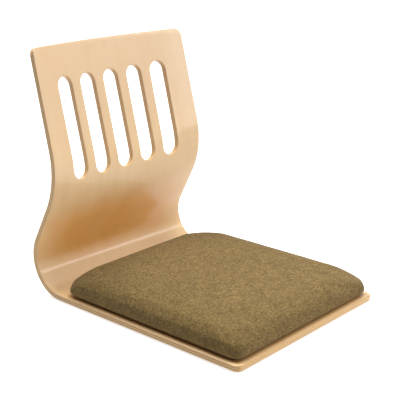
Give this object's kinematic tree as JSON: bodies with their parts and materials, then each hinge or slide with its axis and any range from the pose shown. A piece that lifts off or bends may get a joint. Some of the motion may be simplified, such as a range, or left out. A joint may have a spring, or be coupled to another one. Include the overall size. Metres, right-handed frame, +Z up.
{
  "type": "legless floor chair",
  "caption": "Legless floor chair of one bent plywood sheet with vertical slots in its back, and a cloth-covered seat pad that lifts off.",
  "frame": {"origin": "on the floor at the middle of the chair's box, under the felt glides", "axes": "+Z up, the chair faces -Y, so the back stands at +Y; +X is the left side of someone who sits in it"},
  "size_m": [0.4, 0.5224, 0.4725],
  "materials": {
    "veneer": "clear satin lacquer over pale veneer",
    "long_ply": "pale wood, grain along the bend",
    "cross_ply": "wood, grain across the bend",
    "pad_cloth": "olive heather plain weave",
    "wadding": "soft polyester fibre",
    "foam": "open cell foam",
    "board": "raw thin plywood",
    "lining_cloth": "black non-woven cloth",
    "staple_wire": "galvanised wire",
    "hook_tape": "black hook tape",
    "loop_tape": "black loop tape",
    "felt": "pressed felt"
  },
  "bodies": {
    "shell": {"face_veneer": "veneer", "core_ply_1": "long_ply", "core_ply_2": "cross_ply", "core_ply_3": "long_ply", "core_ply_4": "cross_ply", "core_ply_5": "long_ply", "back_veneer": "veneer", "felt_glide_front_left": "felt", "felt_glide_front_right": "felt", "felt_glide_back_left": "felt", "felt_glide_back_right": "felt", "hook_strip_left": "hook_tape", "hook_strip_right": "hook_tape"},
    "seat_pad": {"pad_cover": "pad_cloth", "pad_wadding": "wadding", "pad_foam": "foam", "pad_board": "board", "pad_lining": "lining_cloth", "pad_staples": "staple_wire", "loop_strip_left": "loop_tape", "loop_strip_right": "loop_tape"}
  },
  "joints": [
    {"name": "pad_lift", "type": "slide", "parent": "shell", "child": "seat_pad", "axis": [0, 0, 1], "range_m": [0, 0.15]}
  ]
}
